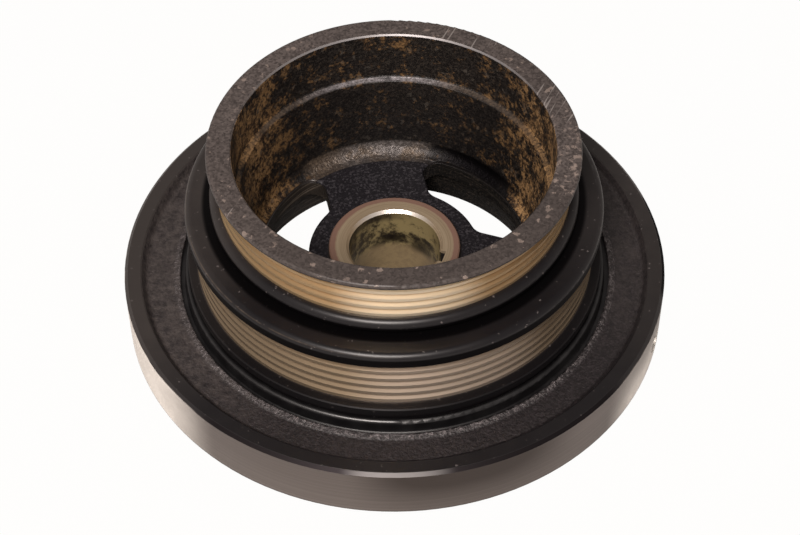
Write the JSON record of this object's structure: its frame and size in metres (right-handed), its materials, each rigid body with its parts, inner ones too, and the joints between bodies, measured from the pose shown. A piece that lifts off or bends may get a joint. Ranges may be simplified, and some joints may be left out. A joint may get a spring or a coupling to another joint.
{
  "type": "harmonic balancer",
  "caption": "Crankshaft harmonic balancer: spoked cast hub with two V-ribbed belt tracks and a keyed bore, and an inertia ring bonded on with rubber.",
  "frame": {"origin": "on the shaft axis, in the plane of the rear face of the hub's boss", "axes": "+Z along the shaft axis towards the open front of the cup; +X towards the keyway side, which lies 18.5 degrees below it"},
  "size_m": [0.19, 0.19, 0.081],
  "materials": {
    "painted_casting": "worn satin paint, bare belt tracks and boss face",
    "damper_rubber": "smooth, dusty",
    "worn_iron": "worn paint over turned iron"
  },
  "bodies": {
    "root": {"pulley_hub": "painted_casting", "rubber_ring": "damper_rubber", "inertia_ring": "worn_iron"}
  },
  "joints": []
}
